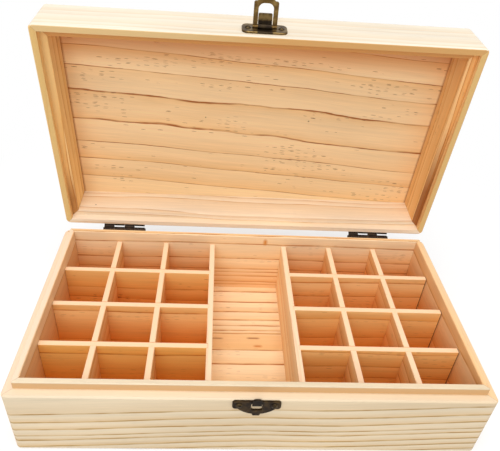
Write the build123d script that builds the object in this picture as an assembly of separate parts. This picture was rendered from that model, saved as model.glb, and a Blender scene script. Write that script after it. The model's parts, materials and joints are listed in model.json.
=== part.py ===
from build123d import *
import os

# Wooden storage box: a mitred pine case with a divided inside, a hinged lid and a small hasp.
# Millimetres. The origin is the middle of the underside, X to the right, Y to the back, Z up.

# Pine case
box_length = 300.0
box_depth = 164.0
wall = 9.5
ledge_height = 53.0
ledge_width = 5.7
lip_height = 5.8
corner_radius = 3.5
lip_corner_radius = 1.0
foot_arris = 1.2
ledge_arris = 1.0
lip_arris = 0.5
floor_thickness = 3.0
floor_bite = 4.5
panel_gap = 0.1

# Dividers
columns = 3
rows = 4
well_width = 55.0
slat = 4.0
slat_drop = 9.1
slat_arris = 0.4
slat_end_gap = 0.25
groove_depth = 1.0
notch_gap = 0.1

# Lid, which stands open on the stops of its hinges
lid_height = 37.0
lid_seam = 0.25
rim_width = 4.7
rim_arris = 1.0
lip_headroom = 0.3
top_thickness = 5.0
top_bite = 4.7
top_arris = 1.2
lid_opening = 85.0

# Hinges
hinge_inset = 47.0
hinge_length = 33.0
hinge_sheet = 1.1
hinge_offset = 3.95
hinge_drop = 1.2
leaf_reach = 12.0
leaf_corner = 1.5
leaf_seam = 0.3
neck_start = 3.6
neck_end = 1.2
curl_angle = 300.0
knuckle_gap = 0.2
pin_diameter = 2.2
pin_fit = 0.05
pin_head_diameter = 3.2
pin_head_height = 0.7
stop_gap = 0.1
hinge_screw_spacing = 22.0
hinge_screw_reach = 8.6

# Hasp on the lid and its swinging loop
hasp_height = 11.0
hasp_length = 30.0
hasp_width = 13.9
hasp_corner = 4.0
plate_sheet = 1.4
plate_arris = 0.35
hasp_screw_spacing = 22.2
loop_offset = 2.2
loop_width = 15.9
loop_arm = 3.0
loop_sheet = 1.0
loop_bar = 2.0
loop_shoulder = 16.4
loop_reach = 18.8
loop_window = 15.2
loop_corner = 1.2
hump_width = 12.0
bar_fit = 0.05
foot_gap = 0.3
tongue_width = 9.1
tongue_sheet = 1.0
tongue_top = 10.5
tongue_bend = 0.7
tongue_corner = 0.8

# Catch on the case
catch_length = 29.4
catch_drop = 0.25
catch_end = 7.0
catch_corner = 1.9
bow_width = 23.0
bow_depth = 12.0
tab_width = 4.8
tab_depth = 13.5
tab_corner = 0.8
catch_window_width = 7.0
catch_window_height = 6.6
catch_window_drop = 1.6
catch_window_corner = 1.5
catch_screw_spacing = 21.4
catch_screw_drop = 3.6
hook_width = 5.7
hook_sheet = 0.9
hook_gap = 1.05
hook_seat = 0.2
hook_rise = 3.8
hook_corner = 2.2

# Screws
screw_head_diameter = 4.0
screw_head_height = 1.1
screw_crown_diameter = 2.6
screw_diameter = 1.8
screw_length = 7.0
screw_fit = 0.05
slot_width = 0.6
slot_depth = 0.55
screw_turns = (20, 65)

# Levels and lines that follow from the sizes
inner_length = box_length - 2 * wall
inner_depth = box_depth - 2 * wall
lip_top = ledge_height + lip_height
rim = ledge_height + lid_seam
lid_top = rim + lid_height
slat_top = lip_top - slat_drop
slat_height = slat_top - floor_thickness
cell_width = (inner_length / 2 - well_width / 2 - columns * slat) / columns
cell_depth = (inner_depth - (rows - 1) * slat) / rows
hinge_y = box_depth / 2 + hinge_offset
hinge_z = ledge_height - hinge_drop
hinge_axis = Axis((0, hinge_y, hinge_z), (1, 0, 0))

pieces = {}


# Pine boards
def block(length, depth, bottom, top, radius=0):
    plan = RectangleRounded(length, depth, radius) if radius else Rectangle(length, depth)
    return Pos(0, 0, bottom) * extrude(plan, top - bottom)


def mitred_boards(frame, bottom, top):
    """The four boards of a closed frame, parted on the mitres at its corners."""
    far_x = box_length / 2 + wall
    far_y = box_depth / 2 + wall
    near_x = far_x - 3 * wall
    near_y = far_y - 3 * wall
    front = [(-far_x, -far_y), (far_x, -far_y), (near_x, -near_y), (-near_x, -near_y)]
    left = [(-far_x, far_y), (-far_x, -far_y), (-near_x, -near_y), (-near_x, near_y)]
    boards = {}
    for side, corners, turn in (
        ("front", front, 0),
        ("back", front, 180),
        ("left", left, 0),
        ("right", left, 180),
    ):
        wedge = extrude(make_face(Polyline(*corners, close=True)), top - bottom, dir=(0, 0, 1))
        boards[side] = frame & (Pos(0, 0, bottom) * Rot(0, 0, turn) * wedge)
    return boards


def case_boards():
    """Walls with a ledge and a lip along the mouth and a rabbet for the floor underneath."""
    body = block(box_length, box_depth, 0, ledge_height, corner_radius)
    body = chamfer(body.edges().group_by(Axis.Z)[0], foot_arris)
    body = chamfer(body.edges().group_by(Axis.Z)[-1], ledge_arris)
    body += block(
        box_length - 2 * ledge_width,
        box_depth - 2 * ledge_width,
        floor_thickness,
        lip_top,
        lip_corner_radius,
    )
    body -= block(inner_length, inner_depth, 0, lip_top)
    body -= block(inner_length + 2 * floor_bite, inner_depth + 2 * floor_bite, 0, floor_thickness)
    body = chamfer(body.edges().group_by(Axis.Z)[-1], lip_arris)
    return mitred_boards(body, 0, lip_top)


def lid_boards():
    """Walls with a rabbet at the mouth that passes over the lip and one at the top for the panel."""
    body = block(box_length, box_depth, rim, lid_top, corner_radius)
    body = chamfer(body.edges().group_by(Axis.Z)[0], rim_arris)
    body = chamfer(body.edges().group_by(Axis.Z)[-1], top_arris)
    step = lip_top + lip_headroom
    body -= block(inner_length, inner_depth, rim, lid_top)
    body -= block(box_length - 2 * rim_width, box_depth - 2 * rim_width, rim, step)
    body -= block(
        inner_length + 2 * top_bite,
        inner_depth + 2 * top_bite,
        lid_top - top_thickness,
        lid_top,
    )
    return mitred_boards(body, rim, lid_top)


# Screws
def screw(turn):
    """Slotted screw with a tapered head, seated on the plane that it stands on."""
    shank = screw_diameter / 2
    outline = Polyline(
        (0, screw_head_height),
        (0, -screw_length),
        (shank, -screw_length + 2 * shank),
        (shank, 0),
        (screw_head_diameter / 2, 0),
        (screw_crown_diameter / 2, screw_head_height),
        close=True,
    )
    body = revolve(Plane.XZ * make_face(outline), Axis.Z)
    slot = Box(2 * screw_head_diameter, slot_width, 2 * slot_depth)
    return body - Pos(0, 0, screw_head_height) * Rot(0, 0, turn) * slot


def screw_pair(plane, spacing, height):
    """Two screws at one height on a plane, as one group."""
    places = [(-spacing / 2, screw_turns[0]), (spacing / 2, screw_turns[1])]
    return Compound([plane.location * Pos(x, height, 0) * screw(turn) for x, turn in places])


def bore_pair(plane, spacing, height):
    """The holes that a pair of screws needs in the plate and the wood under it."""
    bore = Cylinder(screw_diameter / 2 + screw_fit, 2 * screw_length)
    return [plane.location * Pos(x, height, 0) * bore for x in (-spacing / 2, spacing / 2)]


# Hinges: a joggled leaf on each back face, rolled into knuckles round one pin
knuckle_length = (hinge_length - 3 * knuckle_gap) / 4
curl_radius = (pin_diameter + hinge_sheet) / 2 + pin_fit
knuckle_starts = [i * (knuckle_length + knuckle_gap) - hinge_length / 2 for i in range(4)]


def hinge_plane(x):
    """Section plane on the back face: across is away from the wood, up is up."""
    return Plane(origin=(x, box_depth / 2, hinge_z), x_dir=(0, 1, 0), z_dir=(1, 0, 0))


def back_plane(x):
    """The outer face of a leaf, for its screws: across is to the left, up is up."""
    return Plane(origin=(x, box_depth / 2 + hinge_sheet, hinge_z), x_dir=(-1, 0, 0), z_dir=(0, 1, 0))


def knuckle_section():
    """Side view of a base knuckle: leaf, joggled neck and curl over the top of the pin."""
    neck = Polyline(
        (hinge_sheet / 2, -neck_start - hinge_sheet),
        (hinge_sheet / 2, -neck_start),
        (hinge_offset - curl_radius, -neck_end),
        (hinge_offset - curl_radius, 0),
    )
    curl = CenterArc((hinge_offset, 0), curl_radius, 180, -curl_angle)
    return trace(neck + curl, hinge_sheet)


def heel_section():
    """Side view of the heel that stops the lid: it meets the base leaf when the lid is open."""
    length = hinge_offset - hinge_sheet - stop_gap
    heel = Pos(-length / 2, -curl_radius) * Rectangle(length, hinge_sheet)
    return Pos(hinge_offset, 0) * Rot(0, 0, lid_opening) * heel


def leaf(x, own, other_edge, side):
    """One leaf with its two knuckles. Side is 1 for the lid and -1 for the base."""
    section = knuckle_section()
    if side > 0:
        section = mirror(section, Plane.XZ) + heel_section()
    outline = Pos(0, side * (leaf_reach + neck_start) / 2) * Rectangle(hinge_length, leaf_reach - neck_start)
    corners = outline.vertices().sort_by(Axis.Y, reverse=side > 0)[:2]
    outline = fillet(corners, leaf_corner)
    for index, start in enumerate(knuckle_starts):
        if index not in own:
            height = neck_start - other_edge
            middle = start + knuckle_length / 2
            outline += Pos(middle, side * (neck_start - height / 2)) * Rectangle(knuckle_length, height)
    face = Plane(origin=(x, box_depth / 2, hinge_z), x_dir=(1, 0, 0), z_dir=(0, -1, 0))
    body = extrude(face * outline, hinge_sheet, dir=(0, 1, 0))
    for index in own:
        body += extrude(hinge_plane(x + knuckle_starts[index]) * section, knuckle_length, dir=(1, 0, 0))
    for bore in bore_pair(back_plane(x), hinge_screw_spacing, side * hinge_screw_reach):
        body -= bore
    return body


def hinge_pin(x):
    """Pin with a low head at each end."""
    pin_radius = pin_diameter / 2
    head_radius = pin_head_diameter / 2
    seat = hinge_length / 2 + pin_fit
    end = seat + pin_head_height
    outline = Polyline(
        (-end, 0),
        (-end, head_radius),
        (-seat, head_radius),
        (-seat, pin_radius),
        (seat, pin_radius),
        (seat, head_radius),
        (end, head_radius),
        (end, 0),
        close=True,
    )
    return Pos(x, hinge_y, hinge_z) * revolve(make_face(outline), Axis.X)


# Hasp: a stamped plate on the lid, whose tongue is rolled round the loop's bar
hasp_plane = Plane(
    origin=(0, -box_depth / 2, rim + hasp_height), x_dir=(1, 0, 0), z_dir=(0, -1, 0)
)
hasp_face = hasp_plane.offset(plate_sheet)
roll_radius = loop_bar / 2 + bar_fit + tongue_sheet / 2
roll_outer = roll_radius + tongue_sheet / 2


def side_plane(plane, x):
    """Side view of something on a front face: across is away from the wood, up is up."""
    return Plane(origin=(x, plane.origin.Y, plane.origin.Z), x_dir=(0, -1, 0), z_dir=(-1, 0, 0))


def hasp_tongue():
    """Tongue from under the bar, round it and turned up behind it."""
    under = loop_offset - roll_radius
    over = loop_offset + roll_radius
    behind = roll_radius
    path = Curve() + Line((under, loop_bar + foot_gap + tongue_sheet), (under, 0))
    path += CenterArc((loop_offset, 0), roll_radius, 180, 180)
    path += Line((over, 0), (over, behind - tongue_bend))
    path += CenterArc((over + tongue_bend, behind - tongue_bend), tongue_bend, 180, -90)
    path += Line((over + tongue_bend, behind), (tongue_top, behind))
    strip = trace(path, tongue_sheet)
    body = extrude(side_plane(hasp_plane, tongue_width / 2) * strip, tongue_width, dir=(-1, 0, 0))
    tips = body.edges().filter_by(Axis.Z).group_by(Axis.Y)[0]
    return fillet(tips, tongue_corner)


def hasp_plate():
    """Plate with slots for the loop's feet, room for the roll and the rolled tongue itself."""
    slot_height = loop_bar + 2 * foot_gap
    slot_width = loop_width + 2 * foot_gap
    roll_room = roll_outer + foot_gap
    outline = RectangleRounded(hasp_length, hasp_width, hasp_corner)
    plate = extrude(hasp_plane * outline, plate_sheet)
    plate = chamfer(plate.faces().sort_by(Axis.Y)[0].edges(), plate_arris)
    openings = Rectangle(slot_width, slot_height)
    openings += Pos(0, -roll_room / 2) * Rectangle(tongue_width + 2 * foot_gap, roll_room)
    plate -= extrude(hasp_plane * openings, plate_sheet)
    for bore in bore_pair(hasp_plane, hasp_screw_spacing, 0):
        plate -= bore
    return plate + hasp_tongue()


def hasp_loop():
    """Shouldered loop stamped from sheet, with a round bar across its foot."""
    hump_height = loop_reach - loop_shoulder
    hump_radius = ((hump_width / 2) ** 2 + hump_height**2) / (2 * hump_height)
    gap = loop_width - 2 * loop_arm
    outline = Pos(0, loop_shoulder / 2) * RectangleRounded(loop_width, loop_shoulder, loop_corner)
    above = Pos(0, loop_reach) * Rectangle(hump_width, 2 * hump_height + loop_corner)
    outline += (Pos(0, loop_reach - hump_radius) * Circle(hump_radius)) & above
    window = Pos(0, loop_window / 2) * Rectangle(gap, loop_window)
    window = fillet(window.vertices().sort_by(Axis.Y)[-2:], gap / 2 - loop_corner)
    face = Plane(origin=hasp_plane.origin + Vector(0, -loop_offset, 0), x_dir=(1, 0, 0), z_dir=(0, 0, 1))
    sheet = extrude(Rot(0, 0, 180) * (outline - window), loop_sheet / 2, both=True)
    bar = Rot(0, 90, 0) * Cylinder(loop_bar / 2, loop_width)
    return face.location * (sheet + bar)


# Catch: a stamped plate on the case with a hook bent up from its window
catch_plane = Plane(
    origin=(0, -box_depth / 2, ledge_height - catch_drop), x_dir=(1, 0, 0), z_dir=(0, -1, 0)
)
catch_face = catch_plane.offset(plate_sheet)


def catch_hook():
    """Hook bent from the top of the window, out and up past the plate's edge."""
    bend = (hook_gap + hook_sheet) / 2
    inner = plate_sheet / 2
    outer = inner + 2 * bend
    root = hook_seat - catch_window_drop
    tip = hook_rise + catch_drop
    path = Curve() + Line((inner, root + hook_sheet), (inner, root))
    path += CenterArc((inner + bend, root), bend, 180, 180)
    path += Line((outer, root), (outer, tip))
    body = extrude(
        side_plane(catch_plane, hook_width / 2) * trace(path, hook_sheet),
        hook_width,
        dir=(-1, 0, 0),
    )
    tips = body.edges().filter_by(Axis.Y).group_by(Axis.Z)[-1]
    return fillet(tips, hook_corner)


def catch_plate():
    """Plate with straight ends, a bowed lower edge and a short tab, and its hook."""
    bow_height = bow_depth - catch_end
    bow_radius = ((bow_width / 2) ** 2 + bow_height**2) / (2 * bow_height)
    outline = Pos(0, -catch_end / 2) * RectangleRounded(catch_length, catch_end, catch_corner)
    below = Pos(0, -bow_depth / 2 - catch_end / 4) * Rectangle(catch_length, bow_depth - catch_end / 2)
    outline += (Pos(0, bow_radius - bow_depth) * Circle(bow_radius)) & below
    tab_height = tab_depth - catch_end
    outline += Pos(0, -catch_end - tab_height / 2) * RectangleRounded(tab_width, tab_height, tab_corner)
    plate = extrude(catch_plane * outline, plate_sheet)
    plate = chamfer(plate.faces().sort_by(Axis.Y)[0].edges(), plate_arris)
    window = RectangleRounded(catch_window_width, catch_window_height, catch_window_corner)
    window_place = Pos(0, -catch_window_drop - catch_window_height / 2)
    plate -= extrude(catch_plane * (window_place * window), plate_sheet)
    for bore in bore_pair(catch_plane, catch_screw_spacing, -catch_screw_drop):
        plate -= bore
    return plate + catch_hook()


# Dividers
def slat_blank(length):
    """Slat that lies along X, standing on the floor, with eased top edges."""
    section = Pos(0, slat_height / 2) * Rectangle(slat, slat_height)
    section = chamfer(section.vertices().sort_by(Axis.Y)[-2:], slat_arris)
    return Pos(0, 0, floor_thickness) * extrude(Plane.YZ * section, length / 2, both=True)


def notch(low):
    """The half of a lap that is cut from a slat that lies along X."""
    height = slat_height / 2 + notch_gap
    middle = floor_thickness + height / 2 if low else slat_top - height / 2
    return Pos(0, 0, middle) * Box(slat + 2 * notch_gap, 2 * slat, height)


def long_divider():
    """Slat that runs front to back, notched from above for the cross dividers."""
    blank = slat_blank(inner_depth - 2 * slat_end_gap)
    for y in row_lines:
        blank -= Pos(y, 0, 0) * notch(False)
    return Rot(0, 0, 90) * blank


def well_divider(side):
    """Side wall of the well, grooved on its outer face for the ends of the cross dividers."""
    blank = slat_blank(inner_depth - 2 * slat_end_gap)
    groove = Box(slat + 2 * notch_gap, groove_depth, slat_height)
    for y in row_lines:
        blank -= Pos(y, -side * (slat - groove_depth) / 2, floor_thickness + slat_height / 2) * groove
    return Pos(side * well_line, 0, 0) * Rot(0, 0, 90) * blank


def cross_divider(side, y):
    """Slat from the well divider to the end wall, notched from below."""
    start = well_line + slat / 2 - groove_depth + notch_gap
    end = inner_length / 2 - slat_end_gap
    middle = (start + end) / 2
    blank = slat_blank(end - start)
    for x in column_lines:
        blank -= Pos(side * (x - middle), 0, 0) * notch(True)
    return Pos(side * middle, y, 0) * blank


well_line = (well_width + slat) / 2
column_lines = [well_line + (i + 1) * (cell_width + slat) for i in range(columns - 1)]
row_lines = [(i + 1 - rows / 2) * (cell_depth + slat) for i in range(rows - 1)]

# The case and what stands in it
case = case_boards()
for side_name, board in case.items():
    pieces[f"base_{side_name}_wall"] = board
pieces["base_floor_panel"] = block(
    inner_length + 2 * floor_bite - 2 * panel_gap,
    inner_depth + 2 * floor_bite - 2 * panel_gap,
    0,
    floor_thickness,
)
for side_name, side in (("left", -1), ("right", 1)):
    pieces[f"well_{side_name}_divider"] = well_divider(side)
    for name, x in zip(("inner", "outer"), column_lines):
        pieces[f"{side_name}_{name}_divider"] = Pos(side * x, 0, 0) * long_divider()
    for name, y in zip(("front", "middle", "back"), row_lines):
        pieces[f"{side_name}_cross_divider_{name}"] = cross_divider(side, y)

# The lid, made shut
lid = {}
for side_name, board in lid_boards().items():
    lid[f"lid_{side_name}_wall"] = board
lid["lid_panel"] = block(
    inner_length + 2 * top_bite - 2 * panel_gap,
    inner_depth + 2 * top_bite - 2 * panel_gap,
    lid_top - top_thickness,
    lid_top,
)

# Hinges
for side_name, side in (("left", -1), ("right", 1)):
    x = side * (box_length / 2 - hinge_inset)
    base_edge = -hinge_drop + leaf_seam
    lid_edge = hinge_drop + lid_seam + leaf_seam
    pieces[f"hinge_{side_name}_base_leaf"] = leaf(x, (1, 3), base_edge, -1)
    pieces[f"hinge_{side_name}_pin"] = hinge_pin(x)
    pieces[f"hinge_{side_name}_base_screws"] = screw_pair(
        back_plane(x), hinge_screw_spacing, -hinge_screw_reach
    )
    lid[f"hinge_{side_name}_lid_leaf"] = leaf(x, (0, 2), lid_edge, 1)
    lid[f"hinge_{side_name}_lid_screws"] = screw_pair(
        back_plane(x), hinge_screw_spacing, hinge_screw_reach
    )
    for bore in bore_pair(back_plane(x), hinge_screw_spacing, -hinge_screw_reach):
        pieces["base_back_wall"] -= bore
    for bore in bore_pair(back_plane(x), hinge_screw_spacing, hinge_screw_reach):
        lid["lid_back_wall"] -= bore

# Hasp and catch
lid["hasp_plate"] = hasp_plate()
lid["hasp_screws"] = screw_pair(hasp_face, hasp_screw_spacing, 0)
for bore in bore_pair(hasp_face, hasp_screw_spacing, 0):
    lid["lid_front_wall"] -= bore
lid["hasp_loop"] = hasp_loop()
pieces["catch_plate"] = catch_plate()
pieces["catch_screws"] = screw_pair(catch_face, catch_screw_spacing, -catch_screw_drop)
for bore in bore_pair(catch_face, catch_screw_spacing, -catch_screw_drop):
    pieces["base_front_wall"] -= bore

# The lid turned open about its hinges
for name, piece in lid.items():
    pieces[name] = piece.rotate(hinge_axis, -lid_opening)

os.makedirs("parts", exist_ok=True)
for name, piece in pieces.items():
    export_step(piece, f"parts/{name}.step")

loop_axis = Vertex(0, hasp_plane.origin.Y - loop_offset, hasp_plane.origin.Z)
loop_axis = loop_axis.rotate(hinge_axis, -lid_opening).center()
print("lid axis", 0, hinge_y, hinge_z)
print("loop axis", 0, round(loop_axis.Y, 4), round(loop_axis.Z, 4))
print("columns", column_lines, "rows", row_lines, "cells", cell_width, cell_depth)
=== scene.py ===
import json
from math import cos, pi, radians, sin, sqrt

import bmesh
import bpy
from mathutils import Matrix, Vector

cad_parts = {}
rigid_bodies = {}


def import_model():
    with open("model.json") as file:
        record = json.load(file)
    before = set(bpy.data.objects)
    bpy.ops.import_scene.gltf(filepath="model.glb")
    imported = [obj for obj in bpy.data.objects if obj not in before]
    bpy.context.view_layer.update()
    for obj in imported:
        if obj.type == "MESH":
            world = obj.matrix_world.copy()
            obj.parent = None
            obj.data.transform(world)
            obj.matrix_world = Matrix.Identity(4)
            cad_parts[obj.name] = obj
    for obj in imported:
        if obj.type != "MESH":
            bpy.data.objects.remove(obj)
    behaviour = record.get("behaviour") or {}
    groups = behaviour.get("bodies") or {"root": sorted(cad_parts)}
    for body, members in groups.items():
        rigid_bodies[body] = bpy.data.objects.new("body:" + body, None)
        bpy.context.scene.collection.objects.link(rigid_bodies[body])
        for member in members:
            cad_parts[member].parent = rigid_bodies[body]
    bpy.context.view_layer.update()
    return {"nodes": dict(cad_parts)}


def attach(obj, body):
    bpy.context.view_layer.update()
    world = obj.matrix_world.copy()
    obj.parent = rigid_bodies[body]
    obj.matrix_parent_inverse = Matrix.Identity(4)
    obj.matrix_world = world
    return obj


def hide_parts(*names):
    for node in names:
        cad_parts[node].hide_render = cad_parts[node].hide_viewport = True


for leftover in list(bpy.data.objects):
    bpy.data.objects.remove(leftover)
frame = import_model()

# The case: four boards of sanded, unvarnished pine, mitred and glued at the corners.
# Each has its grain along its length and a rabbet in its outer top edge, which leaves the lip.
# The growth rings run through the whole board, so faces, ledge and lip show the same wood.
half_length = 0.150
half_depth = 0.082
inner_half_length = 0.1405
inner_half_depth = 0.0725
well_half_width = 0.0275
# the line that the lid turns about, and how far it stands open
hinge_line = Vector((0, 0.08595, 0.0518))
lid_opening = radians(85)


def colour(red, green, blue):
    """A colour written as it looks on a screen, 0 to 255, as Blender takes it."""
    steps = [value / 255 for value in (red, green, blue)]
    return [s / 12.92 if s <= 0.04045 else ((s + 0.055) / 1.055) ** 2.4 for s in steps] + [1]


def bare_finish(name):
    """A new material with no nodes yet, and its tree."""
    material = bpy.data.materials.new(name)
    material.use_nodes = True
    material.node_tree.nodes.clear()
    return material, material.node_tree


def node(tree, kind, feeds, **settings):
    """Adds a shader node, sets its options, fills or joins its inputs and returns its outputs."""
    made = tree.nodes.new("ShaderNode" + kind)
    for name, value in settings.items():
        setattr(made, name, value)
    for name, value in feeds.items():
        if isinstance(value, bpy.types.NodeSocket):
            tree.links.new(value, made.inputs[name])
        else:
            made.inputs[name].default_value = value
    return made.outputs


def calc(tree, operation, *values):
    """One step of arithmetic on numbers and sockets."""
    return node(tree, "Math", dict(enumerate(values)), operation=operation)[0]


def blend(tree, share, first, second, how="MIX"):
    """Mixes two colours by a share from 0 to 1. The node's colour sockets are 6, 7 and 2."""
    feeds = {0: share, 6: first, 7: second}
    return node(tree, "Mix", feeds, data_type="RGBA", blend_type=how)[2]


def ramp(tree, value, *stops, smooth=False):
    """Turns a value into a grey by straight or smooth runs between stops of place and grey."""
    outputs = node(tree, "ValToRGB", {0: value})
    outputs[0].node.color_ramp.interpolation = "CARDINAL" if smooth else "LINEAR"
    steps = outputs[0].node.color_ramp.elements
    while len(steps) < len(stops):
        steps.new(0.5)
    for step, (position, grey) in zip(steps, stops):
        step.position = position
        step.color = (grey, grey, grey, 1)
    return outputs[0]


def stretched(tree, place, along, across):
    """The place in the log, scaled along the grain and across it."""
    return node(tree, "VectorMath", {0: place, 1: (along, across, across)}, operation="MULTIPLY")[0]


def grain_noise(tree, place, along, across, detail):
    """Noise drawn out along the grain: how often it changes in a metre along and across."""
    feeds = {"Vector": stretched(tree, place, along, across), "Scale": 1, "Detail": detail}
    return node(tree, "TexNoise", feeds)[0]


def sawn_pine():
    """Group for pine. Place is the place in the log, X along the grain. Rings counts its rings.
    Line is the share of a ring that its dark line fills."""
    tree = bpy.data.node_groups.new("sawn pine", "ShaderNodeTree")
    sockets = (
        ("Place", "Vector"), ("Rings", "Float"), ("Line", "Float"), ("Early wood", "Color"),
        ("Late wood", "Color"), ("Strength", "Float"), ("Flecks", "Float"),
    )
    for name, kind in sockets:
        tree.interface.new_socket(name, in_out="INPUT", socket_type="NodeSocket" + kind)
    for name, kind in (("Colour", "Color"), ("Roughness", "Float"), ("Height", "Float")):
        tree.interface.new_socket(name, in_out="OUTPUT", socket_type="NodeSocket" + kind)
    given = tree.nodes.new("NodeGroupInput").outputs
    place = given["Place"]

    # each ring turns slowly from pale to tan, more in some years, and ends in a thin dark line
    growth = calc(tree, "FRACT", given["Rings"])
    soft = ramp(tree, growth, (0, 0), (0.3, 0.08), (0.7, 0.6), (0.95, 1), (1, 0))
    till_end = calc(tree, "DIVIDE", calc(tree, "SUBTRACT", 1, growth), given["Line"])
    sharp = ramp(tree, till_end, (0, 0), (0.1, 1), (0.55, 1), (1, 0))
    year = calc(tree, "FLOOR", given["Rings"])
    good_year = node(tree, "TexWhiteNoise", {"W": year}, noise_dimensions="1D")[0]
    soft = calc(tree, "MULTIPLY", soft, calc(tree, "MULTIPLY_ADD", good_year, 0.5, 0.5))
    soft = calc(tree, "MULTIPLY", soft, given["Strength"])
    patchy = ramp(tree, grain_noise(tree, place, 45, 120, 2), (0.38, 0.35), (0.6, 1))
    sharp = calc(tree, "MULTIPLY", calc(tree, "MULTIPLY", sharp, patchy), given["Strength"])
    late = calc(tree, "MAXIMUM", calc(tree, "MULTIPLY", soft, 0.5), sharp)

    # resin canals that the saw opened: short dark flecks, rare in most places and crowded in some
    canal = node(tree, "TexVoronoi", {"Vector": stretched(tree, place, 150, 2000), "Scale": 1})
    thin = ramp(tree, canal["Distance"], (0, 1), (0.27, 1), (0.36, 0))
    crowd = ramp(tree, grain_noise(tree, place, 12, 90, 1), (0.53, 0), (0.66, 1))
    rarity = calc(tree, "MULTIPLY_ADD", crowd, -0.36, 0.993)
    chance = node(tree, "SeparateColor", {0: canal["Color"]})
    picked = calc(tree, "GREATER_THAN", chance[0], rarity)
    depth = calc(tree, "MULTIPLY_ADD", chance[1], 0.8, 0.4)
    fleck = calc(tree, "MULTIPLY", calc(tree, "MULTIPLY", thin, picked), given["Flecks"])
    fleck = calc(tree, "MINIMUM", calc(tree, "MULTIPLY", fleck, depth), 1)

    # broad patches, streaks and fibres, each with how much it lightens and darkens the wood
    broad = grain_noise(tree, place, 9, 40, 1)
    streak = grain_noise(tree, place, 12, 420, 2)
    fibre = grain_noise(tree, place, 60, 2200, 3)
    level = 1
    for shade, amount in ((broad, 0.26), (streak, 0.2), (fibre, 0.22)):
        level = calc(tree, "MULTIPLY", level, calc(tree, "MULTIPLY_ADD", shade, amount, 1 - amount / 2))
    tan = colour(242, 220, 184)
    resin = colour(116, 58, 18)
    wood = blend(tree, soft, given["Early wood"], tan, "MULTIPLY")
    wood = blend(tree, sharp, wood, given["Late wood"])
    wood = node(tree, "VectorMath", {0: wood, "Scale": level}, operation="SCALE")[0]
    wood = blend(tree, fleck, wood, resin)

    # fibres and late wood stand up a little, canals are sunk, and late wood is a little glossier
    height = calc(tree, "ADD", calc(tree, "MULTIPLY", fibre, 0.5), calc(tree, "MULTIPLY", late, 0.5))
    height = calc(tree, "SUBTRACT", height, fleck)
    rough = calc(tree, "MULTIPLY_ADD", fibre, 0.2, 0.5)
    rough = calc(tree, "SUBTRACT", rough, calc(tree, "MULTIPLY", late, 0.08))
    finished = tree.nodes.new("NodeGroupOutput").inputs
    for name, value in (("Colour", wood), ("Roughness", rough), ("Height", height)):
        tree.links.new(value, finished[name])
    return tree


pine = sawn_pine()


def place_on_box(tree, on_lid):
    """The place on the box. On the lid it is worked out as if the lid were shut."""
    spot = node(tree, "TexCoord", {})["Object"]
    if not on_lid:
        return spot
    turn = {"Vector": spot, "Center": hinge_line, "Angle": lid_opening}
    return node(tree, "VectorRotate", turn, rotation_type="X_AXIS")[0]


def stain(low, high, soft, shade, amount, how="MIX"):
    """A block where the colour is another one: its two corners, the width of its soft edge, the same
    all round or along each axis, the colour, how much of it shows and how it is mixed in."""
    return low, high, soft if isinstance(soft, tuple) else (soft,) * 3, shade, amount, how


def nearness(tree, spot, low, high, soft):
    """1 inside a block between two corners, fading to 0 over a distance along each axis."""
    middle = [(a + b) / 2 for a, b in zip(low, high)]
    half = [(b - a) / 2 for a, b in zip(low, high)]
    away = node(tree, "VectorMath", {0: spot, 1: middle}, operation="SUBTRACT")[0]
    away = node(tree, "VectorMath", {0: away}, operation="ABSOLUTE")[0]
    away = node(tree, "VectorMath", {0: away, 1: half}, operation="SUBTRACT")[0]
    away = node(tree, "VectorMath", {0: away, 1: (0, 0, 0)}, operation="MAXIMUM")[0]
    away = node(tree, "VectorMath", {0: away, 1: soft}, operation="DIVIDE")[0]
    away = node(tree, "VectorMath", {0: away}, operation="LENGTH")["Value"]
    return ramp(tree, away, (0, 1), (1, 0))


def stained(tree, spot, base, stains):
    """A colour with its stains laid over it."""
    for low, high, soft, shade, amount, how in stains:
        share = calc(tree, "MULTIPLY", nearness(tree, spot, low, high, soft), amount)
        base = blend(tree, share, base, colour(*shade), how)
    return base


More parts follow.
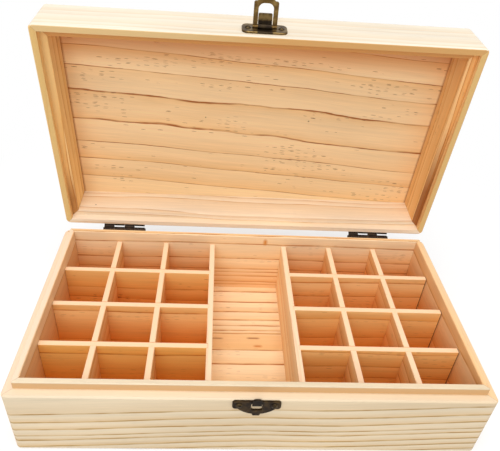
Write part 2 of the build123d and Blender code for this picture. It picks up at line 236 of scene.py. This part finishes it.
def pine_board(
    name, grain, heart, rings, early, late, line, strength, flecks,
    course=(), on_lid=False, mitred=False, panel=False, stains=(),
):
    """Finish of one board. Grain is X or Y. Heart is the line that its rings go round, in metres
    across the board's face and through it. Rings is the width of every ring in metres, or a list of
    how far the dark lines lie from the heart in millimetres. Line is the share of a ring that its
    dark line fills, or with such a list the line's width in millimetres. Early and late are the
    colours of the pale wood and the lines. Course is how far the grain rises along the board."""
    material, tree = bare_finish(name)
    spot = place_on_box(tree, on_lid)
    x, y, z = node(tree, "SeparateXYZ", {0: spot})
    along, other = (x, y) if grain == "X" else (y, x)
    across, through = (other, z) if panel else (z, other)
    if course:
        start, length = course[0][0], course[-1][0] - course[0][0]
        most = max(abs(rise) for spot_along, rise in course)
        stops = [((spot_along - start) / length, 0.5 + rise / most / 2) for spot_along, rise in course]
        share = calc(tree, "DIVIDE", calc(tree, "SUBTRACT", along, start), length)
        bend = calc(tree, "SUBTRACT", ramp(tree, share, *stops, smooth=True), 0.5)
        across = calc(tree, "MULTIPLY_ADD", bend, -2 * most, across)
    across = calc(tree, "SUBTRACT", across, heart[0])
    through = calc(tree, "SUBTRACT", through, heart[1])
    place = node(tree, "CombineXYZ", {0: along, 1: across, 2: through})[0]

    # the rings are not quite round, and those whose places are listed keep closer to them
    drift = 0.003 if isinstance(rings, tuple) else 0.010
    shake = 0.0012
    squares = calc(tree, "ADD", calc(tree, "POWER", across, 2), calc(tree, "POWER", through, 2))
    wander = calc(tree, "MULTIPLY_ADD", grain_noise(tree, place, 6, 16, 1), drift, -drift / 2)
    wobble = calc(tree, "MULTIPLY_ADD", grain_noise(tree, place, 30, 150, 2), shake, -shake / 2)
    radius = calc(tree, "ADD", calc(tree, "ADD", calc(tree, "SQRT", squares), wander), wobble)
    if isinstance(rings, tuple):
        dark_share = 0.2
        ends = [(rings[0], 0)]
        for year, ring in enumerate(rings[1:], 1):
            ends += [(ring - line, year - dark_share), (ring, year)]
        inside, length = rings[0] / 1000, (rings[-1] - rings[0]) / 1000
        stops = [((ring / 1000 - inside) / length, year / (len(rings) - 1)) for ring, year in ends]
        share = calc(tree, "DIVIDE", calc(tree, "SUBTRACT", radius, inside), length)
        count = calc(tree, "MULTIPLY", ramp(tree, share, *stops), len(rings) - 1)
    else:
        dark_share = line
        count = calc(tree, "DIVIDE", radius, rings)
        uneven = node(tree, "TexNoise", {"W": count, "Scale": 0.9, "Detail": 0}, noise_dimensions="1D")[0]
        count = calc(tree, "ADD", count, calc(tree, "MULTIPLY_ADD", uneven, 0.8, -0.4))

    feeds = {
        "Place": place, "Rings": count, "Line": dark_share, "Early wood": colour(*early),
        "Late wood": colour(*late), "Strength": strength, "Flecks": flecks,
    }
    wood, rough, height = node(tree, "Group", feeds, node_tree=pine)
    wood = stained(tree, spot, wood, stains)
    if mitred:
        glue_width = 0.0003
        glue_brown = colour(140, 96, 52)
        off_mitre = calc(tree, "SUBTRACT", calc(tree, "ABSOLUTE", x), calc(tree, "ABSOLUTE", y))
        off_mitre = calc(tree, "ABSOLUTE", calc(tree, "SUBTRACT", off_mitre, half_length - half_depth))
        glue = ramp(tree, calc(tree, "DIVIDE", off_mitre, glue_width), (0, 0.45), (1, 0))
        wood = blend(tree, glue, wood, glue_brown)
    bump = node(tree, "Bump", {"Strength": 0.25, "Distance": 0.0003, "Height": height})[0]
    feeds = {"Base Color": wood, "Roughness": rough, "Specular IOR Level": 0.35, "Normal": bump}
    shader = node(tree, "BsdfPrincipled", feeds)[0]
    node(tree, "OutputMaterial", {"Surface": shader})
    return material


def finish(piece, material):
    """Puts a finish on a piece of the frame."""
    for slot in frame["nodes"][piece].material_slots:
        slot.material = material


def painted_bounce_warmth(low_x, high_x):
    """Painted bounce light: inside the cells the wood is painted a warmer orange, most of all towards the
    floor.
    """
    low, high = (low_x, -0.0727, 0), (high_x, 0.0727, 0.012)
    return stain(low, high, (0.0004, 0.0004, 0.040), (255, 214, 136), 0.9, "MULTIPLY")


# painted bounce light on the cells' walls, floor and slats, deeper orange towards the floor
painted_bounce_left = painted_bounce_warmth(-0.1407, -0.0298)
painted_bounce_right = painted_bounce_warmth(0.0298, 0.1407)
lip_front_shade = stain((-0.1437, -0.0770, 0.0534), (0.1437, -0.0760, 0.0578), 0.0005, (214, 162, 100), 0.75)
ledge_front_blush = stain((-0.15, -0.0815, 0.0528), (0.15, -0.0775, 0.0532), 0.0006, (250, 222, 190), 0.4)
ledge_left_pale = stain((-0.15, -0.09, 0.0525), (-0.1412, 0.09, 0.0590), 0.0005, (243, 222, 204), 0.55)
# painted bounce light: the well's back wall turns orange towards the floor
well_foot_painted_bounce = stain(
    (-well_half_width, 0.0720, 0), (well_half_width, 0.0730, 0.012), (0.0004, 0.0004, 0.018),
    (228, 158, 86), 0.4)
pitch_spot = stain(
    (0.0140, inner_half_depth, 0.0525), (0.0140, inner_half_depth, 0.0540), (0.0024, 0.0030, 0.0034),
    (216, 134, 40), 1)

finish("base_front_wall", pine_board(
    "front wall pine", "X", heart=(0.160, -0.112),
    rings=(92, 100, 121.9, 129.7, 136.9, 143.2, 147.5, 154.1, 160, 166, 172),
    early=(230, 212, 182), late=(170, 130, 60), line=1.5, strength=0.95, flecks=0.1,
    course=((-0.150, -0.0068), (-0.015, 0), (0.060, 0.0005), (0.150, 0.0062)),
    mitred=True, stains=[lip_front_shade, ledge_front_blush]))
finish("base_back_wall", pine_board(
    "back wall pine", "X", heart=(0.140, 0.150),
    rings=(100, 112, 118.8, 131, 140.1, 143, 146.8, 152.2, 154.9, 160, 166),
    early=(250, 220, 178), late=(190, 118, 50), line=1.0, strength=0.9, flecks=0.4,
    mitred=True, stains=[painted_bounce_left, painted_bounce_right, well_foot_painted_bounce, pitch_spot]))
finish("base_left_wall", pine_board(
    "left wall pine", "Y", heart=(0.020, -0.185), rings=0.0130,
    early=(247, 215, 172), late=(206, 138, 66), line=0.07, strength=0.9, flecks=0.2,
    mitred=True, stains=[painted_bounce_left, ledge_left_pale]))
finish("base_right_wall", pine_board(
    "right wall pine", "Y", heart=(0.070, 0.180), rings=0.0150,
    early=(246, 210, 164), late=(206, 138, 66), line=0.07, strength=0.9, flecks=0.2,
    mitred=True, stains=[painted_bounce_right]))

# The bottom: a thin pine panel let into a rabbet round the walls' lower edge.
# Its grain runs along the box, with close rings across the middle and a few amber resin marks.
floor_low = 0.0020
floor_high = 0.0035
amber_band = stain(
    (-well_half_width, 0.0030, floor_low), (well_half_width, 0.0155, floor_high), (0.0006, 0.003, 0.001),
    (236, 180, 110), 0.55)
amber_drop = stain(
    (0.0070, 0.0044, floor_low), (0.0096, 0.0048, floor_high), (0.0030, 0.0014, 0.001), (206, 116, 34), 0.8)
right_streak = stain(
    (0.0020, 0.0124, floor_low), (0.0080, 0.0132, floor_high), (0.0030, 0.0008, 0.001), (150, 82, 30), 0.7)
left_streak = stain(
    (-0.0260, 0.0118, floor_low), (-0.0210, 0.0124, floor_high), (0.0030, 0.0008, 0.001), (150, 82, 30), 0.6)
finish("base_floor_panel", pine_board(
    "floor pine", "X", heart=(0.150, -0.030),
    rings=(74, 90.4, 102.3, 113.6, 122.6, 128.6, 133.9, 137, 153.8, 167.3, 183.4, 199.1, 212.9, 228, 244),
    early=(250, 222, 182), late=(178, 102, 34), line=1.4, strength=0.95, flecks=0.4,
    panel=True, stains=[painted_bounce_left, painted_bounce_right, amber_band, amber_drop, right_streak, left_streak]))

# The dividers: thin sanded pine slats with eased top edges, standing on the floor.
# The ones that run side to side are lapped over the ones that run front to back.
slat_line = (204, 128, 56)
sanded_top = stain(
    (-0.15, -0.08, 0.0496), (0.15, 0.08, 0.0520), (0.001, 0.001, 0.0004), (252, 218, 184), 0.8)
well_line = 0.0295
inner_line = 0.06717
outer_line = 0.10483
well_slat_pine = (254, 222, 178)
cell_slat_pine = (252, 212, 156)
long_slats = (
    ("well_left", -well_line, well_slat_pine), ("well_right", well_line, well_slat_pine),
    ("left_inner", -inner_line, cell_slat_pine), ("left_outer", -outer_line, cell_slat_pine),
    ("right_inner", inner_line, cell_slat_pine), ("right_outer", outer_line, cell_slat_pine),
)
# each slat comes from another part of the log, with rings a little wider or closer
for number, (name, x, slat_pine) in enumerate(long_slats):
    finish(f"{name}_divider", pine_board(
        f"{name} divider pine", "Y", heart=(0.09 + 0.02 * number, x - 0.03),
        rings=0.0120 + 0.0016 * (number % 3),
        early=slat_pine, late=slat_line, line=0.07, strength=0.9, flecks=0.4,
        stains=[painted_bounce_left if x < 0 else painted_bounce_right, sanded_top]))

# the cross slats come from different boards: wide or close rings, some redder, one full of flecks
row_line = 0.03725
cross_slats = (
    ("left", "front", -row_line, (255, 204, 122), 0.0190, 0.3),
    ("left", "middle", 0, (253, 212, 150), 0.0230, 0.4),
    ("left", "back", row_line, (247, 196, 124), 0.0150, 1.5),
    ("right", "front", -row_line, (250, 202, 134), 0.0120, 0.5),
    ("right", "middle", 0, (251, 206, 138), 0.0170, 0.4),
    ("right", "back", row_line, (253, 212, 154), 0.0210, 0.4),
)
# on the right the ends stop just short of the case, and a painted shadow marks that gap as a dark line
painted_gap_shadow = stain((0.1399, -0.08, 0), (0.1420, 0.08, 0.0505), 0.0003, (104, 54, 20), 0.85)
for number, (side, name, y, slat_pine, ring, flecks) in enumerate(cross_slats):
    marks = [painted_bounce_left, sanded_top] if side == "left" else [painted_bounce_right, sanded_top, painted_gap_shadow]
    finish(f"{side}_cross_divider_{name}", pine_board(
        f"{side} {name} cross divider pine", "X", heart=(0.085 + 0.017 * number, y + 0.035),
        rings=ring, early=slat_pine, late=slat_line, line=0.08, strength=0.9, flecks=flecks,
        stains=marks))

# The lid: four mitred pine boards, rabbeted at the mouth to drop over the case's lip.
# It stands open on its hinges, so its wood is worked out with the lid shut.
mouth_reach = 0.1452


def rim_stain(low, high):
    """The mouth's edge is sanded across its late wood, and looks darker than the faces."""
    return stain(low + (0.0528,), high + (0.05335,), 0.0003, (222, 184, 116), 0.85)


def rabbet_dark_line(low, high, soft_y, shade, amount):
    """A dark line in the corner of the rabbet, fading along the board."""
    return stain(low + (0.0588,), high + (0.0593,), (0.0004, soft_y, 0.0008), shade, amount)


rim_amber = stain(
    (0.01, -0.0900, 0.0528), (0.16, -0.0772, 0.05335), (0.06, 0.0003, 0.0003), (208, 144, 66), 0.6)
# painted shade on the front wall's inside, which faces down under the rim when the lid stands open
front_inside_painted_shade = stain((-0.146, -0.0771, 0.0538), (0.146, -0.0700, 0.0860), 0.0003, (216, 146, 56), 0.9)
pin_hole = (-0.1277, inner_half_depth, 0.0669)

finish("lid_front_wall", pine_board(
    "lid front pine", "X", heart=(0.110, -0.070), rings=0.0080,
    early=(238, 226, 206), late=(230, 200, 164), line=0.12, strength=0.5, flecks=0.1,
    on_lid=True, mitred=True,
    stains=[rim_stain((-0.16, -0.09), (0.16, -0.07)), rim_amber, front_inside_painted_shade]))
finish("lid_back_wall", pine_board(
    "lid back pine", "X", heart=(0.020, 0.150), rings=0.0060,
    early=(249, 230, 205), late=(206, 154, 96), line=0.14, strength=0.8, flecks=0.1,
    on_lid=True, mitred=True, stains=[stain(pin_hole, pin_hole, 0.0008, (70, 44, 24), 1)]))
finish("lid_left_wall", pine_board(
    "lid left pine", "Y", heart=(0.120, -0.200), rings=0.0060,
    early=(252, 214, 148), late=(204, 132, 60), line=0.14, strength=1.0, flecks=0.2,
    on_lid=True, mitred=True,
    stains=[rim_stain((-0.16, -0.09), (-mouth_reach, 0.09)),
            rabbet_dark_line((-0.1453, 0.06), (-inner_half_length, 0.08), 0.03, (158, 92, 30), 0.7)]))
finish("lid_right_wall", pine_board(
    "lid right pine", "Y", heart=(0.130, 0.210), rings=0.0060,
    early=(248, 204, 142), late=(200, 126, 56), line=0.14, strength=1.0, flecks=0.6,
    on_lid=True, mitred=True,
    stains=[rim_stain((mouth_reach, -0.09), (0.16, 0.09)),
            rabbet_dark_line((inner_half_length, 0.04), (0.1453, 0.08), 0.06, (146, 78, 22), 0.85)]))

# The lid's top: one thin pine panel let into a rabbet round the walls, grain along the box.
# Resin flecks and two pin-sized dark spots show on its inside, and its edges are darker; along the front
# edge that is painted shade under the lid's front wall.
panel_low = 0.0845
panel_high = 0.0860
dark_spot = (66, 36, 14)
left_spot = (-0.0380, -0.0038, 0.0852)
right_spot = (0.0428, -0.0044, 0.0852)
# painted shade along the panel's front edge, fading away from the lid's front wall
panel_front_painted_shade = stain(
    (-0.15, -0.09, panel_low), (0.15, -0.0700, panel_high), (0.001, 0.026, 0.001), (214, 128, 34), 0.85)
side_lines = [
    stain((low_x, -0.08, panel_low), (high_x, 0.08, panel_high), (0.0016, 0.001, 0.001), (160, 90, 26), 0.75)
    for low_x, high_x in ((-0.1415, -0.1403), (0.1403, 0.1415))
]
finish("lid_panel", pine_board(
    "lid panel pine", "X", heart=(-0.001, 0.130), rings=(44, 46.9, 55.2, 65.2, 79, 96),
    early=(252, 219, 170), late=(160, 88, 28), line=0.4, strength=0.95, flecks=1.0,
    course=((-0.15, -0.0092), (-0.05, -0.004), (0.05, 0.003), (0.15, 0.0098)),
    on_lid=True, panel=True,
    stains=[panel_front_painted_shade] + side_lines + [
        stain(left_spot, left_spot, 0.0007, dark_spot, 1),
        stain(right_spot, right_spot, 0.0009, dark_spot, 1)]))

# Hinges: each is two stamped steel leaves, rolled into knuckles that turn on a headed pin.
# They are screwed to the outside of the back and bronzed nearly black.


def bronzed(name, deep, rubbed, wear, gloss, on_lid=False, stains=()):
    """Metal with a chemical bronze finish: mottled, darker in places, rubbed bright on its edges.
    Wear is how much rubbed metal shows on the flat, and gloss is the least roughness."""
    material, tree = bare_finish(name)
    spot = place_on_box(tree, on_lid)
    cloud = node(tree, "TexNoise", {"Vector": spot, "Scale": 260, "Detail": 4})[0]
    speck = node(tree, "TexNoise", {"Vector": spot, "Scale": 1900, "Detail": 2})[0]

    # an edge is where the normal of a rounded copy leaves the face's own
    rounded = node(tree, "Bevel", {"Radius": 0.0004}, samples=6)[0]
    flat = node(tree, "NewGeometry", {})["Normal"]
    match = node(tree, "VectorMath", {0: rounded, 1: flat}, operation="DOT_PRODUCT")["Value"]
    edge = ramp(tree, match, (0.86, 1), (0.995, 0))
    worn = calc(tree, "MULTIPLY", edge, ramp(tree, cloud, (0.35, 0.2), (0.6, 1)))
    patch = ramp(tree, cloud, (0.42, 0), (0.62, 1))
    worn = calc(tree, "MAXIMUM", calc(tree, "MULTIPLY", worn, 0.8), calc(tree, "MULTIPLY", patch, wear))
    metal = blend(tree, worn, colour(*deep), colour(*rubbed))
    metal = blend(tree, 1, metal, ramp(tree, speck, (0.3, 0.75), (0.7, 1.0)), "MULTIPLY")
    metal = stained(tree, spot, metal, stains)
    rough = calc(tree, "MULTIPLY_ADD", speck, 0.25, gloss)
    bump = node(tree, "Bump", {"Strength": 0.3, "Distance": 0.00008, "Height": speck})[0]
    feeds = {"Base Color": metal, "Metallic": 0.85, "Roughness": rough, "Normal": bump}
    shader = node(tree, "BsdfPrincipled", feeds)[0]
    node(tree, "OutputMaterial", {"Surface": shader})
    return material


black_bronze = bronzed("black bronze", deep=(48, 38, 32), rubbed=(110, 86, 58), wear=0.15, gloss=0.34)
for side in ("left", "right"):
    for piece in ("base_leaf", "lid_leaf", "pin"):
        finish(f"hinge_{side}_{piece}", black_bronze)

# Screws: small bronzed steel wood screws with a domed head and a sawn slot.
# Two go through each leaf and plate into the pine, and their slots stop at any angle.
head_radius = 0.0020
dome_height = 0.00105
dome_edge = 0.00025
slot_width = 0.0006
slot_depth = 0.0006
shank_radius = 0.0009
shank_length = 0.0068
point_length = 0.0016
point_radius = 0.0001


def add_screw(mesh, seat, turn):
    """One screw, standing on its seat with its head towards +Z and its slot turned by some degrees."""
    dome_rise = dome_height - dome_edge
    dome_radius = (head_radius**2 + dome_rise**2) / (2 * dome_rise)
    half_slot = slot_width / 2
    slot_wall = half_slot * 1.04
    outer = [-head_radius * share for share in (1, 0.92, 0.8, 0.65, 0.48, 0.32, 0.2)]
    rows = outer + [-slot_wall, -half_slot, half_slot, slot_wall] + [-v for v in reversed(outer)]
    columns = 20
    head = []
    for v in rows:
        reach = sqrt(max(head_radius**2 - v * v, 0))
        line = []
        for i in range(columns + 1):
            u = -reach * cos(pi * i / columns)
            height = sqrt(dome_radius**2 - u * u - v * v) - dome_radius + dome_height
            if abs(v) <= half_slot:
                height = min(height, dome_height - slot_depth)
            line.append(mesh.verts.new((u, v, height)))
        head.append(line)
    for low, high in zip(head, head[1:]):
        for i in range(columns):
            mesh.faces.new((low[i], low[i + 1], high[i + 1], high[i]))

    rim = [line[-1] for line in head] + list(reversed([line[0] for line in head]))
    under = [mesh.verts.new((v.co.x, v.co.y, 0)) for v in rim]
    for i, vertex in enumerate(rim):
        following = (i + 1) % len(rim)
        mesh.faces.new((vertex, under[i], under[following], rim[following]))

    sides = 16
    angles = [2 * pi * i / sides for i in range(sides)]
    outline = (shank_radius, 0), (shank_radius, point_length - shank_length), (point_radius, -shank_length)
    shank = [
        [mesh.verts.new((radius * cos(angle), radius * sin(angle), height)) for angle in angles]
        for radius, height in outline
    ]
    for low, high in zip(shank, shank[1:]):
        for i in range(sides):
            mesh.faces.new((low[i], low[(i + 1) % sides], high[(i + 1) % sides], high[i]))
    new = [vertex for line in head + [under] + shank for vertex in line]
    bmesh.ops.transform(mesh, matrix=seat @ Matrix.Rotation(radians(turn), 4, "Z"), verts=new)


# turns a place on the shut lid to where it is when the lid stands open
opened = (
    Matrix.Translation(hinge_line)
    @ Matrix.Rotation(-lid_opening, 4, "X")
    @ Matrix.Translation(-hinge_line)
)


def screw_pair(piece, stands_for, middle, spacing, facing, body, material):
    """Two screws side by side. Facing is 1 on the back of the box and -1 on its front."""
    mesh = bmesh.new()
    out = Matrix.Rotation(radians(-90 * facing), 4, "X")
    for side, turn in ((-1, 20), (1, 65)):
        seat = Matrix.Translation(middle + Vector((side * spacing / 2, 0, 0))) @ out
        add_screw(mesh, opened @ seat if body == "lid" else seat, turn)
    bmesh.ops.recalc_face_normals(mesh, faces=mesh.faces)
    data = bpy.data.meshes.new(piece)
    mesh.to_mesh(data)
    mesh.free()
    data.materials.append(material)
    made = bpy.data.objects.new(piece, data)
    bpy.context.scene.collection.objects.link(made)
    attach(made, body)
    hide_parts(stands_for)


hinge_middle = 0.103
hinge_spacing = 0.022
leaf_sheet = 0.0011
hinge_face = half_depth + leaf_sheet
case_height = 0.0432
lid_height = 0.0604
for side, x in (("left", -hinge_middle), ("right", hinge_middle)):
    screw_pair(
        f"hinge_{side}_case_screws", f"hinge_{side}_base_screws", Vector((x, hinge_face, case_height)),
        hinge_spacing, facing=1, body="base", material=black_bronze)
    screw_pair(
        f"hinge_{side}_lid_screw_pair", f"hinge_{side}_lid_screws", Vector((x, hinge_face, lid_height)),
        hinge_spacing, facing=1, body="lid", material=black_bronze)

# Hasp: a stamped plate on the lid whose tongue is rolled round the loop's bar, plated antique bronze.
# The plating is olive where hands have rubbed it and nearly black round the screws, and painted shade
# darkens the roll and the plate's lower edge.
plate_sheet = 0.0014
plate_face = -half_depth - plate_sheet
hasp_height = 0.06425
hasp_spacing = 0.0222
# nearly black: the patina round the screws, and painted shade in the hasp's roll and on the catch's hook
black_patina_and_shade = (24, 18, 14)


def sooty_recesses(height, spacing, amount):
    """The recesses round a plate's two screws are nearly black."""
    seats = [(side * spacing / 2, plate_face, height) for side in (-1, 1)]
    return [stain(seat, seat, 0.0034, black_patina_and_shade, amount) for seat in seats]


# painted shade in and round the rolled knuckle
roll_painted_shade = stain(
    (-0.0046, -0.0875, 0.0570), (0.0046, -0.0826, 0.0672), (0.001, 0.001, 0.0015), black_patina_and_shade, 0.85)
# painted shadow along the plate's lower edge
lower_edge_painted_shadow = stain((-0.016, -0.0840, 0.0585), (0.016, -0.0820, 0.0592), 0.001, (60, 40, 24), 0.6)
plate_bronze = bronzed(
    "antique bronze", deep=(84, 64, 36), rubbed=(156, 130, 80), wear=0.6, gloss=0.30, on_lid=True,
    stains=sooty_recesses(hasp_height, hasp_spacing, 0.8) + [roll_painted_shade, lower_edge_painted_shadow])
loop_bronze = bronzed("loop bronze", deep=(108, 82, 42), rubbed=(164, 136, 82), wear=0.7, gloss=0.28)
screw_bronze = bronzed("screw bronze", deep=(52, 40, 26), rubbed=(132, 108, 66), wear=0.3, gloss=0.30)
finish("hasp_plate", plate_bronze)
finish("hasp_loop", loop_bronze)
screw_pair(
    "hasp_screw_pair", "hasp_screws", Vector((0, plate_face, hasp_height)),
    hasp_spacing, facing=-1, body="lid", material=screw_bronze)

# Catch: a stamped plate on the case with a hook bent out of its window.
# The recesses round its screws are nearly black, painted shade darkens the hook in its middle, and its edges
# are rubbed olive.
catch_height = 0.04915
catch_spacing = 0.0214
# painted shade on the hook and in the window round it
hook_painted_shade = stain((-0.0040, -0.0880, 0.0500), (0.0040, -0.0835, 0.0560), (0.001, 0.001, 0.002), black_patina_and_shade, 0.8)
catch_bronze = bronzed(
    "catch bronze", deep=(40, 27, 16), rubbed=(124, 98, 54), wear=0.25, gloss=0.40,
    stains=sooty_recesses(catch_height, catch_spacing, 0.85) + [hook_painted_shade])
finish("catch_plate", catch_bronze)
screw_pair(
    "catch_screw_pair", "catch_screws", Vector((0, plate_face, catch_height)),
    catch_spacing, facing=-1, body="base", material=screw_bronze)

# The floor: a sheet of matt white paper that the box stands on and throws its soft shadow on.
# Where the camera looks it is whiter than for the light it throws back, and further out it
# fades into the white surround.
floor_reach = 4
floor_mesh = bpy.data.meshes.new("floor")
floor_corners = [(x * floor_reach, y * floor_reach, 0) for x, y in ((-1, -1), (1, -1), (1, 1), (-1, 1))]
floor_mesh.from_pydata(floor_corners, [], [(0, 1, 2, 3)])
floor = bpy.data.objects.new("floor", floor_mesh)
bpy.context.scene.collection.objects.link(floor)


def looked_at(tree):
    """1 for what the camera sees, straight, mirrored or through something clear, and 0 for light."""
    rays = node(tree, "LightPath", {})
    seen = calc(tree, "MAXIMUM", rays["Is Camera Ray"], rays["Is Glossy Ray"])
    return calc(tree, "MAXIMUM", seen, rays["Is Transmission Ray"])


paper, tree = bare_finish("white paper")
seen = looked_at(tree)
white = blend(tree, seen, colour(222, 222, 222), colour(255, 255, 255))
fade_reach = 0.5
away = node(tree, "VectorMath", {0: node(tree, "TexCoord", {})["Object"]}, operation="LENGTH")["Value"]
fade = ramp(tree, calc(tree, "DIVIDE", away, fade_reach), (0.3, 0.4), (0.8, 1))
matt = node(tree, "BsdfDiffuse", {"Color": white})[0]
plain_white = node(tree, "Emission", {"Color": (1, 1, 1, 1), "Strength": 1})[0]
surface = node(tree, "MixShader", {0: calc(tree, "MULTIPLY", fade, seen), 1: matt, 2: plain_white})[0]
node(tree, "OutputMaterial", {"Surface": surface})
floor_mesh.materials.append(paper)

# The light: an even white surround, a large soft lamp overhead and a weaker one in front.
# The surround looks plain white, and lights the box with about half that strength.
surround_light = 0.55
world = bpy.data.worlds.new("white room")
bpy.context.scene.world = world
world.use_nodes = True
world.node_tree.nodes.clear()
level = calc(
    world.node_tree, "MULTIPLY_ADD", looked_at(world.node_tree), 1 - surround_light, surround_light)
sky = node(world.node_tree, "Background", {"Color": (1, 1, 1, 1), "Strength": level})[0]
node(world.node_tree, "OutputWorld", {"Surface": sky})


def lamp(name, place, aim, size, power):
    """A soft square lamp that faces a point."""
    light = bpy.data.lights.new(name, "AREA")
    light.size = size
    light.energy = power
    made = bpy.data.objects.new(name, light)
    made.location = place
    made.rotation_euler = (Vector(place) - Vector(aim)).to_track_quat("Z", "Y").to_euler()
    bpy.context.scene.collection.objects.link(made)


lamp("top lamp", place=(-0.1, -0.4, 2.1), aim=(0, 0, 0.05), size=1.2, power=23)
lamp("front lamp", place=(-0.4, -1.6, 1.1), aim=(0, 0, 0.1), size=1.0, power=10)

# The camera: close in front of the box, above it and a little to its left, looking down into it.
# Its place and turn were solved from the box's straight edges in the photograph.
camera_data = bpy.data.cameras.new("camera")
camera_data.sensor_width = 36
camera_data.lens = 38.88
camera_data.shift_x = 0.005762
camera_data.shift_y = 0.0178
camera_data.clip_start = 0.01
camera = bpy.data.objects.new("camera", camera_data)
camera.location = (-0.029866, -0.281007, 0.322745)
camera.rotation_euler = (radians(53.478907), radians(-3.685168), radians(-1.856320))
bpy.context.scene.collection.objects.link(camera)
bpy.context.scene.camera = camera

bpy.context.scene.view_settings.view_transform = "Standard"
